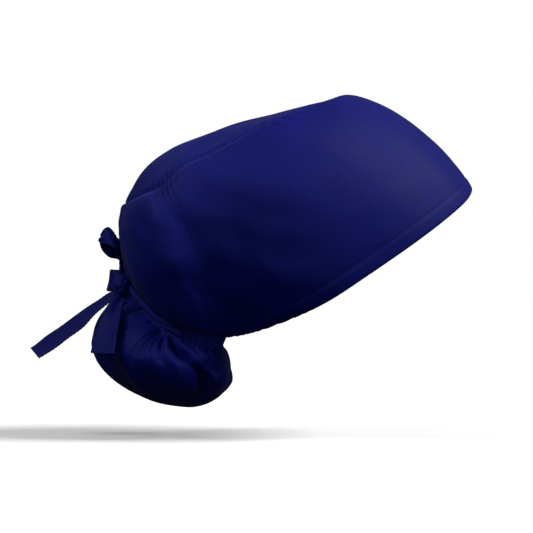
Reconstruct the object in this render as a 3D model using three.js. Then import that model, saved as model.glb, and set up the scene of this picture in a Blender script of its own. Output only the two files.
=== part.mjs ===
// A scrub cap for long hair, in millimetres: a cloth crown with a deep wrap-round band and a
// tongue-shaped top panel, a turned front hem, a gathered elastic casing at the nape, a hair pouch
// hanging behind the neck, and two flat ties that cinch the pouch's neck and end in a bow.
// Row frame: +Z up, the brow faces -Y, the wearer's right side is -X. The origin is the centre of
// the head opening. The cap keeps the form it has when worn.
import * as THREE from "three";
import { mergeVertices } from "three/addons/utils/BufferGeometryUtils.js";

// ---- Driving dimensions -------------------------------------------------------------------------
const OPENING_TILT = THREE.MathUtils.degToRad(31); // the head opening falls from brow to nape
const CLOTH = 1.4; // cloth wall
const GAP = 0.35; // between pieces that are sewn together
const EDGE_HEIGHT = 8.5; // of the turned hem and of the elastic casing
const TIE_WIDTH = 22;
const TIE_THICKNESS = 1.5;
const TIE_CLEARANCE = 1; // between the ties and the gathers under them
const CASING_RIPPLES = 22; // gathers along the elastic
const CASING_RIPPLE_DEPTH = 0.7;
const CASING_HALF = 60; // the casing's length from its middle to an end
const CASING_STAND_OFF = 2.7; // of the pouch's wall behind the casing's free edge

// Columns of facets round the crown and the pouch, and rows up each wall.
const CROWN_COLUMNS = 64;
const BAND_ROWS = 8;
const TOP_ROWS = 3;
const HEM_COLUMNS = 40;
const CASING_COLUMNS = 66;
const POUCH_COLUMNS = 60;
const POUCH_ROWS = 11;
const TIE_COLUMNS = 18;
const RIBBON_STEPS = 5; // between two rows of a ribbon's table

// ---- Crown sections -----------------------------------------------------------------------------
// One row for each section from the brow round the wearer's left side to the back; the right side
// mirrors it. Cap frame: x to the wearer's left, y back, z up, square to the head opening.
// rim: the lower edge. seam: where the band meets the top panel, in plan. bulge: how far the band
// stands out from the straight line between them; low and high shape the bulge at rim and seam.
const SECTIONS = [
  { name: "brow", rimX: 0, rimY: -96.5, rimZ: 0, seamX: 0, seamY: -46.5, bulge: 16.5, low: 0.8, high: 0.5 },
  { name: "brow side", rimX: 40, rimY: -84, rimZ: -4.5, seamX: 25, seamY: -37, bulge: 17, low: 0.85, high: 0.52 },
  { name: "temple", rimX: 66, rimY: -49, rimZ: -9, seamX: 43, seamY: -12, bulge: 18, low: 0.95, high: 0.55 },
  { name: "ear", rimX: 76, rimY: -3, rimZ: -12, seamX: 53, seamY: 20, bulge: 20, low: 1, high: 0.55 },
  { name: "behind ear", rimX: 68, rimY: 44, rimZ: -12.5, seamX: 56, seamY: 48, bulge: 22, low: 0.95, high: 0.55 },
  { name: "nape side", rimX: 40, rimY: 87, rimZ: -5, seamX: 56, seamY: 71, bulge: 27, low: 1, high: 0.5 },
  { name: "tie side", rimX: 42, rimY: 110, rimZ: 10, seamX: 50, seamY: 92, bulge: 30, low: 0.65, high: 0.5 },
  { name: "tie back", rimX: 28, rimY: 129, rimZ: 41, seamX: 27, seamY: 108, bulge: 17, low: 0.6, high: 0.6 },
  { name: "knot", rimX: 0, rimY: 136, rimZ: 69, seamX: 0, seamY: 115, bulge: 5, low: 0.6, high: 0.6 },
];
const LAST = SECTIONS.length - 1;
const NAPE = 5.55; // the section where the head opening leaves the crown's edge and crosses the nape
const NAPE_MIDDLE = { y: 104, z: 2.5 }; // where it crosses the middle plane
const HEM_END = 4.15; // the flat front hem gives way to the elastic casing here
const CORNER_PLACE = 0.58; // the nape's corners, as shares of the casing's length from its middle to an end
const EDGE_FADE = 0.15; // sections past the nape's corner where the band begins to run down to the bare rim
const EDGE_FADE_LENGTH = 0.3; // and over how many it does
const CORNER_SHARE = 0.86; // share of the way to the nape's corner where the mouth begins to stand off
const BULGE_STEP = 0.8; // sections over which the bulge's direction is evened out
const BAND_LENGTH = 115; // the band's height at the sides, which turns heights into shares
const NEAR_SEAM = 0.96; // height at which the band's slope beside the seam is read
const FOLD_CLEAR = 12; // folds die out over one part in this many of the band's height at each edge

// The top panel's ridge in the middle plane, and how fast the panel falls to each side of it.
const RIDGE = [
  { y: -52, z: 100.5, fall: 0.0028 },
  { y: -28, z: 108.3, fall: 0.0028 },
  { y: -4, z: 116, fall: 0.003 },
  { y: 20, z: 123, fall: 0.0041 },
  { y: 44, z: 127.5, fall: 0.0048 },
  { y: 68, z: 130.3, fall: 0.0053 },
  { y: 92, z: 127.5, fall: 0.0062 },
  { y: 116, z: 113, fall: 0.0066 },
  { y: 140, z: 92, fall: 0.0066 },
];
const RIDGE_STEP = RIDGE[1].y - RIDGE[0].y;
const SPINE_MIDDLE = 38; // the panel's columns run in to a spine about this point
const SPINE_SHARE = 0.55;
const TOP_START = 0.012; // share of the way in where the panel begins, just clear of the band

// Main folds and dents of the band. turn: section number, negative on the wearer's right; height:
// share of the band's height; slope: degrees from level; length, width and depth in millimetres,
// with a valley's depth negative.
const BAND_FOLDS = [
  { turn: -4.3, height: 0.42, slope: 62, length: 20, width: 9, depth: -4.5 },
  { turn: -4.9, height: 0.24, slope: 35, length: 30, width: 10, depth: 3 },
  { turn: -5.6, height: 0.36, slope: 75, length: 24, width: 13, depth: -3 },
  { turn: -6.1, height: 0.85, slope: 80, length: 14, width: 8, depth: -2.5 },
  { turn: -7.1, height: 0.35, slope: 80, length: 22, width: 8, depth: -3 },
  { turn: 4.4, height: 0.38, slope: -55, length: 22, width: 10, depth: -4 },
  { turn: 5.3, height: 0.3, slope: -70, length: 26, width: 9, depth: -3.5 },
  { turn: 6.2, height: 0.5, slope: -80, length: 30, width: 9, depth: -3 },
  { turn: 7.2, height: 0.3, slope: -80, length: 18, width: 8, depth: -2.5 },
  { turn: 8, height: 0.35, slope: 90, length: 26, width: 10, depth: -3 },
];
const TURN_LENGTH = 44; // one section's step along the band, for measuring folds

// The outlines of the hem and the casing, cut across: up from the free edge and out from the cloth.
const HEM_OUTLINE = [
  { up: 0, out: -1.6 },
  { up: 0, out: 0 },
  { up: 0.9, out: 0.8 },
  { up: 7.6, out: 0.8 },
  { up: 8.5, out: 0.1 },
  { up: 8.5, out: -1.7 },
  { up: 1, out: -2.2 },
];
const CASING_OUTLINE = [
  { up: 0, out: -1.2 },
  { up: 0.2, out: 0.6 },
  { up: 1.6, out: 1.5 },
  { up: 7.2, out: 1.5 },
  { up: 8.4, out: 0.4 },
  { up: 8.5, out: -1.3 },
  { up: 6.8, out: -2.2 },
  { up: 1.6, out: -2.2 },
];

// ---- Pouch sections -----------------------------------------------------------------------------
// Row frame, from the middle of the back round the wearer's left to the nape; the right mirrors it.
// neckX, neckY, neckZ: how the gathered neck runs from the crown's edge to the pouch. puff: how far
// it swells on the way, or is pinched in by the tie. belly: the pouch's widest line.
const POUCH_SECTIONS = [
  { name: "back", neckX: 0, neckY: 2, neckZ: -10, puff: -1, bellyX: 0, bellyY: 183, bellyZ: -57 },
  { name: "back side", neckX: 0, neckY: 2.5, neckZ: -10.5, puff: -1, bellyX: 30, bellyY: 168, bellyZ: -60 },
  { name: "side", neckX: 0, neckY: 4, neckZ: -11, puff: -1.5, bellyX: 51, bellyY: 142, bellyZ: -65 },
  { name: "nape side", neckX: 1, neckY: 4, neckZ: -10, puff: -1, bellyX: 51, bellyY: 110, bellyZ: -71 },
  { name: "nape corner", neckX: 0, neckY: 3, neckZ: -7, puff: 0, bellyX: 37, bellyY: 89, bellyZ: -77 },
  { name: "nape", neckX: 0, neckY: -4.5, neckZ: -6, puff: 0, bellyX: 0, bellyY: 82.5, bellyZ: -80 },
];
const POUCH_LAST = POUCH_SECTIONS.length - 1;
const MOUTH_CORNER = 4; // the pouch section at the nape's corner
const POUCH_BOTTOM = new THREE.Vector3(0, 112, -100.3);
const MOUTH = 0.015; // share of the way down where the wall begins, just clear of the crown
const NECK_END = 0.2; // share of the way down where the neck opens into the pouch
const BELLY = 0.62; // share of the way down of the widest line
const SQUARENESS = 1.2; // above 1 flattens the pouch's round corners
// Gathers running down from the neck. turn: pouch section at the neck, negative on the right; finish:
// section where it has died out; reach: share of the way down there; width in sections; depth in mm.
const POUCH_FOLDS = [
  { turn: -0.45, finish: -0.5, reach: 0.8, width: 0.2, depth: -4 },
  { turn: -1.15, finish: -0.95, reach: 0.9, width: 0.2, depth: -3.5 },
  { turn: -1.87, finish: -2.5, reach: 0.75, width: 0.16, depth: -3 },
  { turn: -2.1, finish: -4, reach: 0.98, width: 0.22, depth: -9 },
  { turn: 0.3, finish: 0.25, reach: 0.7, width: 0.22, depth: -4.5 },
  { turn: 1, finish: 0.9, reach: 0.85, width: 0.22, depth: -5.5 },
  { turn: 1.75, finish: 1.8, reach: 0.7, width: 0.22, depth: -5 },
  { turn: 2.3, finish: 3, reach: 0.95, width: 0.25, depth: -7 },
  { turn: 3.4, finish: 3.5, reach: 0.8, width: 0.22, depth: -4 },
];
const GATHER_START = 0.18; // share of the way down where the gathers are at full depth

// ---- Ties ---------------------------------------------------------------------------------------
const TIE_START = 2.6; // pouch sections between which each tie lies round the neck
const TIE_FINISH = 0.5;
const TIE_ROWS = [0.03, 0.1, 0.2]; // shares of the way down the pouch that it covers
const KNOT_SIZE = new THREE.Vector3(15, 9, 12);
const KNOT_CENTRE = new THREE.Vector3(0, 161.1, -17.5);
// Each bow loop and loose end is a flat ribbon through rows of its middle line, in the row frame.
// across: the direction of its width, which its middle line need not be square to.
const LOOP_UPPER = [
  { x: 3, y: 162, z: -10, acrossX: 1, acrossY: 0, acrossZ: 0.1, width: 9 },
  { x: 6, y: 160.5, z: -4, acrossX: 1, acrossY: 0, acrossZ: 0.1, width: 12 },
  { x: 9, y: 162, z: 3, acrossX: 1, acrossY: -0.1, acrossZ: 0.3, width: 16 },
  { x: 9, y: 166, z: 9, acrossX: 0.8, acrossY: -0.2, acrossZ: 0.6, width: 19 },
  { x: 5, y: 171, z: 14, acrossX: 0.6, acrossY: -0.2, acrossZ: 0.8, width: 16 },
  { x: -1, y: 173, z: 17, acrossX: 0.5, acrossY: -0.1, acrossZ: 0.9, width: 11 },
  { x: -6, y: 170.5, z: 18, acrossX: 0.5, acrossY: 0.1, acrossZ: 0.9, width: 15 },
  { x: -10, y: 166.5, z: 15, acrossX: 0.6, acrossY: 0.2, acrossZ: 0.8, width: 18 },
  { x: -11, y: 164, z: 7, acrossX: 0.8, acrossY: 0.1, acrossZ: 0.5, width: 16 },
  { x: -9, y: 162.5, z: -1, acrossX: 1, acrossY: 0, acrossZ: 0.2, width: 12 },
  { x: -6.5, y: 163, z: -8.5, acrossX: 1, acrossY: 0, acrossZ: 0.1, width: 8 },
];
const LOOP_LOWER = [
  { x: 9, y: 161.5, z: -14.5, acrossX: 0.2, acrossY: 0, acrossZ: 1, width: 9 },
  { x: 15, y: 164.5, z: -13, acrossX: 0.1, acrossY: 0, acrossZ: 1, width: 13 },
  { x: 24, y: 169, z: -12.5, acrossX: 0, acrossY: -0.15, acrossZ: 1, width: 15 },
  { x: 33, y: 168, z: -13, acrossX: -0.1, acrossY: -0.3, acrossZ: 1, width: 16 },
  { x: 37, y: 162.5, z: -13, acrossX: -0.1, acrossY: -0.3, acrossZ: 1, width: 16 },
  { x: 34, y: 158.5, z: -13, acrossX: 0, acrossY: -0.2, acrossZ: 1, width: 15 },
  { x: 25, y: 157.5, z: -13, acrossX: 0.1, acrossY: 0, acrossZ: 1, width: 13 },
  { x: 11, y: 157.5, z: -15, acrossX: 0.2, acrossY: 0, acrossZ: 1, width: 8 },
];
const TAIL_LONG = [
  { x: 2, y: 166.5, z: -22.6, acrossX: 0.9, acrossY: 0.15, acrossZ: 0.3, width: 11 },
  { x: 2.5, y: 171.5, z: -26.6, acrossX: 0.88, acrossY: 0.2, acrossZ: 0.33, width: 15 },
  { x: 3, y: 178, z: -32, acrossX: 0.87, acrossY: 0.24, acrossZ: 0.36, width: 18 },
  { x: 5, y: 191, z: -42.7, acrossX: 0.87, acrossY: 0.27, acrossZ: 0.38, width: TIE_WIDTH },
  { x: 6, y: 205, z: -53, acrossX: 0.87, acrossY: 0.3, acrossZ: 0.37, width: TIE_WIDTH },
  { x: 7, y: 219.8, z: -63.1, acrossX: 0.87, acrossY: 0.38, acrossZ: 0.33, width: TIE_WIDTH },
];
const TAIL_SHORT = [
  { x: -9, y: 160, z: -25, acrossX: 0.5, acrossY: 0.6, acrossZ: 0.4, width: 9 },
  { x: -17, y: 162.5, z: -30.5, acrossX: 0.55, acrossY: 0.75, acrossZ: 0.3, width: 13 },
  { x: -28, y: 165.5, z: -40.5, acrossX: 0.58, acrossY: 0.78, acrossZ: 0.1, width: 18 },
  { x: -36, y: 168, z: -52, acrossX: 0.6, acrossY: 0.76, acrossZ: 0, width: 21 },
  { x: -41, y: 169.5, z: -61.5, acrossX: 0.62, acrossY: 0.75, acrossZ: 0, width: TIE_WIDTH },
];

// ---- Interpolation ------------------------------------------------------------------------------
// A Catmull-Rom value of one column of a table whose two ends are mirror planes: past either end the
// table repeats backwards, with the sign changed for a sideways (odd) column.
function mirrored(table, column, turn, odd = false) {
  const last = table.length - 1;
  const value = (index) => {
    let row = index;
    let sign = 1;
    if (row < 0) {
      row = -row;
      sign = odd ? -sign : sign;
    }
    if (row > last) {
      row = 2 * last - row;
      sign = odd ? -sign : sign;
    }
    return sign * table[row][column];
  };
  const first = Math.floor(turn);
  return catmullRom(value(first - 1), value(first), value(first + 1), value(first + 2), turn - first);
}

// The same for a table whose ends are simply ends.
function along(table, column, place) {
  const last = table.length - 1;
  const value = (row) => table[Math.min(last, Math.max(0, row))][column];
  const first = Math.min(last - 1, Math.max(0, Math.floor(place)));
  return catmullRom(value(first - 1), value(first), value(first + 1), value(first + 2), place - first);
}

function catmullRom(a, b, c, d, s) {
  return b + 0.5 * s * (c - a + s * (2 * a - 5 * b + 4 * c - d + s * (3 * (b - c) + d - a)));
}

const smooth = (x) => {
  const s = Math.min(1, Math.max(0, x));
  return s * s * (3 - 2 * s);
};

// ---- Crown surface ------------------------------------------------------------------------------
// Cap frame to row frame.
const worn = (p) => p.applyAxisAngle(new THREE.Vector3(1, 0, 0), -OPENING_TILT);

function topHeight(x, y) {
  const place = (y - RIDGE[0].y) / RIDGE_STEP;
  return along(RIDGE, "z", place) - along(RIDGE, "fall", place) * x * x;
}

function rimPoint(turn) {
  return new THREE.Vector3(
    mirrored(SECTIONS, "rimX", turn, true),
    mirrored(SECTIONS, "rimY", turn),
    mirrored(SECTIONS, "rimZ", turn),
  );
}

function seamPoint(turn) {
  const x = mirrored(SECTIONS, "seamX", turn, true);
  const y = mirrored(SECTIONS, "seamY", turn);
  return new THREE.Vector3(x, y, topHeight(x, y));
}

// 0 at the rim and the seam and 1 at the fullest height between them.
function bulgeShape(height, low, high) {
  const peak = low / (low + high);
  const most = peak ** low * (1 - peak) ** high;
  return (height ** low * (1 - height) ** high) / most;
}

function foldDepth(turn, height) {
  const shift = (fold) => {
    const across = ((((turn - fold.turn + LAST) % (2 * LAST)) + 2 * LAST) % (2 * LAST)) - LAST;
    const right = across * TURN_LENGTH;
    const up = (height - fold.height) * BAND_LENGTH;
    const slope = THREE.MathUtils.degToRad(fold.slope);
    const lengthways = (right * Math.cos(slope) + up * Math.sin(slope)) / fold.length;
    const sideways = (up * Math.cos(slope) - right * Math.sin(slope)) / fold.width;
    return fold.depth * Math.exp(-lengthways * lengthways - sideways * sideways);
  };
  const ends = Math.min(1, height * FOLD_CLEAR) * Math.min(1, (1 - height) * FOLD_CLEAR);
  return ends * BAND_FOLDS.reduce((sum, fold) => sum + shift(fold), 0);
}

// A point of the band's outside, from the rim (height 0) to the seam (height 1).
function bandPoint(turn, height) {
  const rim = rimPoint(turn);
  const chord = seamPoint(turn).sub(rim);
  const onward = rimPoint(turn + BULGE_STEP)
    .sub(rimPoint(turn - BULGE_STEP))
    .add(seamPoint(turn + BULGE_STEP).sub(seamPoint(turn - BULGE_STEP)));
  const out = onward.cross(chord).normalize();
  const low = mirrored(SECTIONS, "low", turn);
  const high = mirrored(SECTIONS, "high", turn);
  const stand = mirrored(SECTIONS, "bulge", turn) * bulgeShape(height, low, high) + foldDepth(turn, height);
  return worn(rim.addScaledVector(chord, height).addScaledVector(out, stand));
}

function bandNormal(turn, height) {
  const dt = 0.12;
  const dh = 0.03;
  const up = bandPoint(turn, Math.min(1, height + dh)).sub(bandPoint(turn, Math.max(0, height - dh)));
  const round = bandPoint(turn + dt, height).sub(bandPoint(turn - dt, height));
  return round.cross(up).normalize();
}

// A point of the top panel's outside, from the seam (inward 0) to the spine (inward 1).
function topPlan(turn, inward) {
  const x = mirrored(SECTIONS, "seamX", turn, true);
  const y = mirrored(SECTIONS, "seamY", turn);
  const spineY = SPINE_MIDDLE + (y - SPINE_MIDDLE) * SPINE_SHARE;
  return [x * (1 - inward), y + (spineY - y) * inward];
}

function topPoint(turn, inward) {
  const [x, y] = topPlan(turn, inward);
  return worn(new THREE.Vector3(x, y, topHeight(x, y)));
}

function topNormal(turn, inward) {
  const [x, y] = topPlan(turn, inward);
  const step = 1;
  const slopeX = (topHeight(x + step, y) - topHeight(x - step, y)) / (2 * step);
  const slopeY = (topHeight(x, y + step) - topHeight(x, y - step)) / (2 * step);
  return worn(new THREE.Vector3(-slopeX, -slopeY, 1).normalize());
}

const seamNormal = (turn) => topNormal(turn, 0).add(bandNormal(turn, NEAR_SEAM)).normalize();

// ---- Mesh making --------------------------------------------------------------------------------
// A closed solid from rows of points: rings of the same length, joined in order. roundRows joins the
// last ring to the first, roundColumns each ring's end to its start; open ends are capped by a fan.
function solid(rings, { roundRows = true, roundColumns = true } = {}) {
  const columns = rings[0].length;
  const positions = rings.flat().flatMap((p) => [p.x, p.y, p.z]);
  const faces = [];
  const corner = (row, column) => (row % rings.length) * columns + (column % columns);
  for (let row = 0; row < rings.length - (roundRows ? 0 : 1); row++) {
    for (let column = 0; column < columns - (roundColumns ? 0 : 1); column++) {
      const [a, b] = [corner(row, column), corner(row, column + 1)];
      const [c, d] = [corner(row + 1, column + 1), corner(row + 1, column)];
      faces.push(a, b, c, a, c, d);
    }
  }
  const cap = (ring, flip) => {
    for (let column = 1; column < columns - 1; column++) {
      const [a, b, c] = [corner(ring, 0), corner(ring, column), corner(ring, column + 1)];
      faces.push(...(flip ? [a, c, b] : [a, b, c]));
    }
  };
  if (!roundRows) {
    cap(0, true);
    cap(rings.length - 1, false);
  }
  const geometry = new THREE.BufferGeometry();
  geometry.setAttribute("position", new THREE.Float32BufferAttribute(positions, 3));
  geometry.setIndex(faces);
  return faceOut(geometry);
}

// Merges coincident points, drops faces with no area, and turns an inside-out mesh the right way.
function faceOut(geometry) {
  const merged = mergeVertices(geometry, 1e-3);
  const index = Array.from(merged.index.array);
  const place = merged.getAttribute("position");
  const kept = [];
  let volume = 0;
  const [a, b, c] = [new THREE.Vector3(), new THREE.Vector3(), new THREE.Vector3()];
  for (let i = 0; i < index.length; i += 3) {
    const [p, q, r] = index.slice(i, i + 3);
    if (p === q || q === r || r === p) continue;
    kept.push(p, q, r);
    a.fromBufferAttribute(place, p);
    b.fromBufferAttribute(place, q);
    c.fromBufferAttribute(place, r);
    volume += a.dot(b.cross(c));
  }
  if (volume < 0) {
    for (let i = 0; i < kept.length; i += 3) [kept[i + 1], kept[i + 2]] = [kept[i + 2], kept[i + 1]];
  }
  merged.setIndex(kept);
  merged.computeVertexNormals();
  return merged;
}

const range = (count, from, to) =>
  Array.from({ length: count + 1 }, (_, i) => from + ((to - from) * i) / count);

// Heights that crowd towards both ends, where the wall curves most.
const crowded = (count, from, to) =>
  range(count, 0, 1).map((s) => from + (to - from) * (0.5 - 0.5 * Math.cos(Math.PI * s)) ** 0.95);

const crownTurns = range(CROWN_COLUMNS, -LAST, LAST).slice(0, -1);

// The share of the band's height that the hem or the casing takes at a turn.
const EDGE_SHARE = EDGE_HEIGHT / BAND_LENGTH;
function edgeShare(turn) {
  return EDGE_SHARE * (1 - smooth((Math.abs(turn) - NAPE - EDGE_FADE) / EDGE_FADE_LENGTH));
}

const inside = (point, normal, depth) => point.clone().addScaledVector(normal, -depth);

function bandGeometry() {
  const gapShare = GAP / BAND_LENGTH;
  const outer = [];
  const inner = [];
  for (const share of crowded(BAND_ROWS, 0, 1)) {
    const place = (turn) => {
      const bottom = edgeShare(turn) + gapShare;
      return bottom + (1 - bottom) * share;
    };
    const normal = (turn) => (share === 1 ? seamNormal(turn) : bandNormal(turn, place(turn)));
    outer.push(crownTurns.map((turn) => bandPoint(turn, place(turn))));
    inner.push(crownTurns.map((turn) => inside(bandPoint(turn, place(turn)), normal(turn), CLOTH)));
  }
  return solid([...outer, ...inner.reverse()]);
}

function topGeometry() {
  const outer = [];
  const inner = [];
  for (const share of range(TOP_ROWS, TOP_START, 1)) {
    const normal = (turn) => (share === TOP_START ? seamNormal(turn) : topNormal(turn, share));
    outer.push(crownTurns.map((turn) => topPoint(turn, share)));
    inner.push(crownTurns.map((turn) => inside(topPoint(turn, share), normal(turn), CLOTH)));
  }
  return solid([...inner.reverse(), ...outer], { roundRows: false });
}

// ---- Hem and nape casing --------------------------------------------------------------------
function hemGeometry() {
  const point = (turn, { up, out }) => {
    const height = up / BAND_LENGTH;
    return bandPoint(turn, height).addScaledVector(bandNormal(turn, height), out);
  };
  const rings = range(HEM_COLUMNS, -HEM_END, HEM_END).map((turn) =>
    HEM_OUTLINE.map((corner) => point(turn, corner)),
  );
  return solid(rings, { roundRows: false });
}

// The free edge of the casing: place 1 and -1 are the hem's two ends, and between the two corners
// it crosses the nape.
function casingEdge(place) {
  const side = Math.sign(place);
  const beyond = (Math.abs(place) - CORNER_PLACE) / (1 - CORNER_PLACE);
  if (beyond > 0) return rimPoint(side * (NAPE - (NAPE - HEM_END) * beyond));
  const corner = rimPoint(NAPE);
  const share = place / CORNER_PLACE;
  return new THREE.Vector3(
    corner.x * share,
    NAPE_MIDDLE.y + (corner.y - NAPE_MIDDLE.y) * share * share,
    NAPE_MIDDLE.z + (corner.z - NAPE_MIDDLE.z) * share * share,
  );
}

// A point of the casing: up its height, and out from the head. Beside the hem it follows the band,
// and across the nape it comes upright.
function casingPoint(place, up, out) {
  const step = 0.12;
  const onward = casingEdge(Math.min(1, place + step)).sub(casingEdge(Math.max(-1, place - step)));
  const outward = worn(new THREE.Vector3(-onward.y, onward.x, 0).normalize());
  const beyond = Math.max(0, (Math.abs(place) - CORNER_PLACE) / (1 - CORNER_PLACE));
  const turn = Math.sign(place) * (NAPE - (NAPE - HEM_END) * beyond);
  const height = up / BAND_LENGTH;
  if (beyond > 0) {
    const blended = outward.lerp(bandNormal(turn, height), smooth(beyond * 2)).normalize();
    return bandPoint(turn, height).addScaledVector(blended, out);
  }
  const lean = bandPoint(turn, height).sub(worn(rimPoint(turn)));
  const upright = worn(new THREE.Vector3(0, 0, up));
  const rise = upright.lerp(lean, (place / CORNER_PLACE) ** 2);
  return worn(casingEdge(place)).add(rise).addScaledVector(outward, out);
}

function casingGeometry() {
  const reach = 1 - GAP / CASING_HALF;
  const rings = range(CASING_COLUMNS, -reach, reach).map((place) => {
    const ripple = CASING_RIPPLE_DEPTH * Math.cos(Math.PI * CASING_RIPPLES * place);
    return CASING_OUTLINE.map(({ up, out }) => casingPoint(place, up, out > 0 ? out + ripple : out - ripple));
  });
  return solid(rings, { roundRows: false });
}

// ---- Pouch --------------------------------------------------------------------------------------
// The line that the pouch hangs from: the crown's edge, and then the foot of the casing.
function mouthPoint(turn) {
  const side = Math.sign(turn) || 1;
  const share = Math.abs(turn) / MOUTH_CORNER;
  if (share <= 1) {
    const crownTurn = side * (LAST - (LAST - NAPE) * share);
    const stand = CASING_STAND_OFF * smooth((share - CORNER_SHARE) / (1 - CORNER_SHARE));
    return bandPoint(crownTurn, 0).addScaledVector(bandNormal(crownTurn, 0), stand);
  }
  const across = (POUCH_LAST - Math.abs(turn)) / (POUCH_LAST - MOUTH_CORNER);
  return casingPoint(side * CORNER_PLACE * across, 0, CASING_STAND_OFF);
}

function pouchForm(turn, down) {
  const side = Math.sign(turn) || 1;
  let wrapped = Math.abs(turn);
  let sign = side;
  if (wrapped > POUCH_LAST) {
    wrapped = 2 * POUCH_LAST - wrapped;
    sign = -side;
  }
  const at = (column, odd = false) => mirrored(POUCH_SECTIONS, column, wrapped, odd) * (odd ? sign : 1);
  const mouth = mouthPoint(sign * wrapped);
  const neck = new THREE.Vector3(at("neckX", true), at("neckY"), at("neckZ"));
  const belly = new THREE.Vector3(at("bellyX", true), at("bellyY"), at("bellyZ"));
  if (down <= NECK_END) {
    const share = down / NECK_END;
    const outward = new THREE.Vector3(belly.x, belly.y - POUCH_BOTTOM.y, 0).normalize();
    mouth.addScaledVector(neck, share);
    return mouth.addScaledVector(outward, at("puff") * Math.sin(Math.PI * share));
  }
  const start = mouth.add(neck);
  if (down <= BELLY) {
    const angle = (0.5 * Math.PI * (down - NECK_END)) / (BELLY - NECK_END);
    const [out, drop] = [Math.sin(angle) ** SQUARENESS, 1 - Math.cos(angle) ** SQUARENESS];
    return new THREE.Vector3(
      start.x + (belly.x - start.x) * out,
      start.y + (belly.y - start.y) * out,
      start.z + (belly.z - start.z) * drop,
    );
  }
  const angle = (0.5 * Math.PI * (down - BELLY)) / (1 - BELLY);
  const [out, drop] = [Math.max(0, Math.cos(angle)) ** SQUARENESS, Math.sin(angle) ** SQUARENESS];
  return new THREE.Vector3(
    POUCH_BOTTOM.x + (belly.x - POUCH_BOTTOM.x) * out,
    POUCH_BOTTOM.y + (belly.y - POUCH_BOTTOM.y) * out,
    belly.z + (POUCH_BOTTOM.z - belly.z) * drop,
  );
}

function gatherDepth(turn, down) {
  const period = 2 * POUCH_LAST;
  return POUCH_FOLDS.reduce((sum, fold) => {
    const centre = fold.turn + ((fold.finish - fold.turn) * down) / fold.reach;
    const across = ((((turn - centre + POUCH_LAST) % period) + period) % period) - POUCH_LAST;
    const fade = smooth(down / GATHER_START) * (1 - smooth(down / fold.reach));
    return sum + fold.depth * fade * Math.exp(-((across / fold.width) ** 2));
  }, 0);
}

function surfaceNormal(surface, turn, down, turnStep, downStep) {
  const low = Math.max(0, down - downStep);
  const high = Math.min(1, down + downStep);
  const round = surface(turn + turnStep, down).sub(surface(turn - turnStep, down));
  return round.cross(surface(turn, high).sub(surface(turn, low))).normalize();
}

// Steps in turn and in share of the way down that the pouch's slope is read over; it stops short of the pole.
const FORM_STEP = { turn: 0.1, down: 0.03, last: 0.97 };
const FOLD_STEP = { turn: 0.08, down: 0.02, last: 0.96 };
const slope = (surface, step) => (turn, down) =>
  surfaceNormal(surface, turn, Math.min(step.last, down), step.turn, step.down);
const formNormal = slope(pouchForm, FORM_STEP);

function pouchPoint(turn, down) {
  return pouchForm(turn, down).addScaledVector(formNormal(turn, down), gatherDepth(turn, down));
}

const pouchNormal = slope(pouchPoint, FOLD_STEP);

function pouchGeometry() {
  const turns = range(POUCH_COLUMNS, -POUCH_LAST, POUCH_LAST).slice(0, -1);
  const downs = [...range(2, MOUTH, NECK_END), ...range(POUCH_ROWS - 3, NECK_END, 1).slice(1)];
  const outer = [];
  const inner = [];
  for (const down of downs) {
    outer.push(turns.map((turn) => pouchPoint(turn, down)));
    if (down < 1) inner.push(turns.map((turn) => inside(pouchPoint(turn, down), pouchNormal(turn, down), CLOTH)));
  }
  inner.push(turns.map(() => POUCH_BOTTOM.clone().setZ(POUCH_BOTTOM.z + CLOTH)));
  return solid([...outer, ...inner.reverse()]);
}

// ---- Ties ---------------------------------------------------------------------------------------
// A tie lies round the pouch's neck, over its gathers, from its side seam to the knot.
function tieGeometry(side) {
  const rows = range(TIE_COLUMNS, side * TIE_START, side * TIE_FINISH);
  const rings = rows.map((turn) => {
    const face = (out) => TIE_ROWS.map((down) => inside(pouchForm(turn, down), formNormal(turn, down), -out));
    return [...face(TIE_CLEARANCE), ...face(TIE_CLEARANCE + TIE_THICKNESS).reverse()];
  });
  return solid(rings, { roundRows: false });
}

function ribbonGeometry(table) {
  const steps = range((table.length - 1) * RIBBON_STEPS, 0, table.length - 1);
  const middle = (place) => new THREE.Vector3(...["x", "y", "z"].map((c) => along(table, c, place)));
  const rings = steps.map((place) => {
    const across = new THREE.Vector3(...["acrossX", "acrossY", "acrossZ"].map((c) => along(table, c, place)));
    across.setLength(along(table, "width", place) / 2);
    const onward = middle(Math.min(table.length - 1, place + 0.2)).sub(middle(Math.max(0, place - 0.2)));
    const thick = onward.cross(across).setLength(TIE_THICKNESS / 2);
    const corner = (width, height) => middle(place).addScaledVector(across, width).addScaledVector(thick, height);
    return [corner(-1, -1), corner(0, -1), corner(1, -1), corner(1, 1), corner(0, 1), corner(-1, 1)];
  });
  return solid(rings, { roundRows: false });
}

const group = new THREE.Group();
const NAVY = { color: 0x10134a, roughness: 0.85, metalness: 0 };

function piece(name, geometry) {
  const mesh = new THREE.Mesh(geometry, new THREE.MeshStandardMaterial(NAVY));
  mesh.name = name;
  group.add(mesh);
  return mesh;
}

piece("wrap_band", bandGeometry());
piece("top_panel", topGeometry());
piece("brim_hem", hemGeometry());
piece("nape_casing", casingGeometry());
piece("ponytail_pouch", pouchGeometry());
piece("tie_left", tieGeometry(1));
piece("tie_right", tieGeometry(-1));
const knot = piece("knot", faceOut(new THREE.SphereGeometry(0.5, 14, 10)));
knot.scale.copy(KNOT_SIZE);
knot.position.copy(KNOT_CENTRE);
piece("bow_loop_upper", ribbonGeometry(LOOP_UPPER));
piece("bow_loop_lower", ribbonGeometry(LOOP_LOWER));
piece("tail_long", ribbonGeometry(TAIL_LONG));
piece("tail_short", ribbonGeometry(TAIL_SHORT));

export default group;
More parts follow.
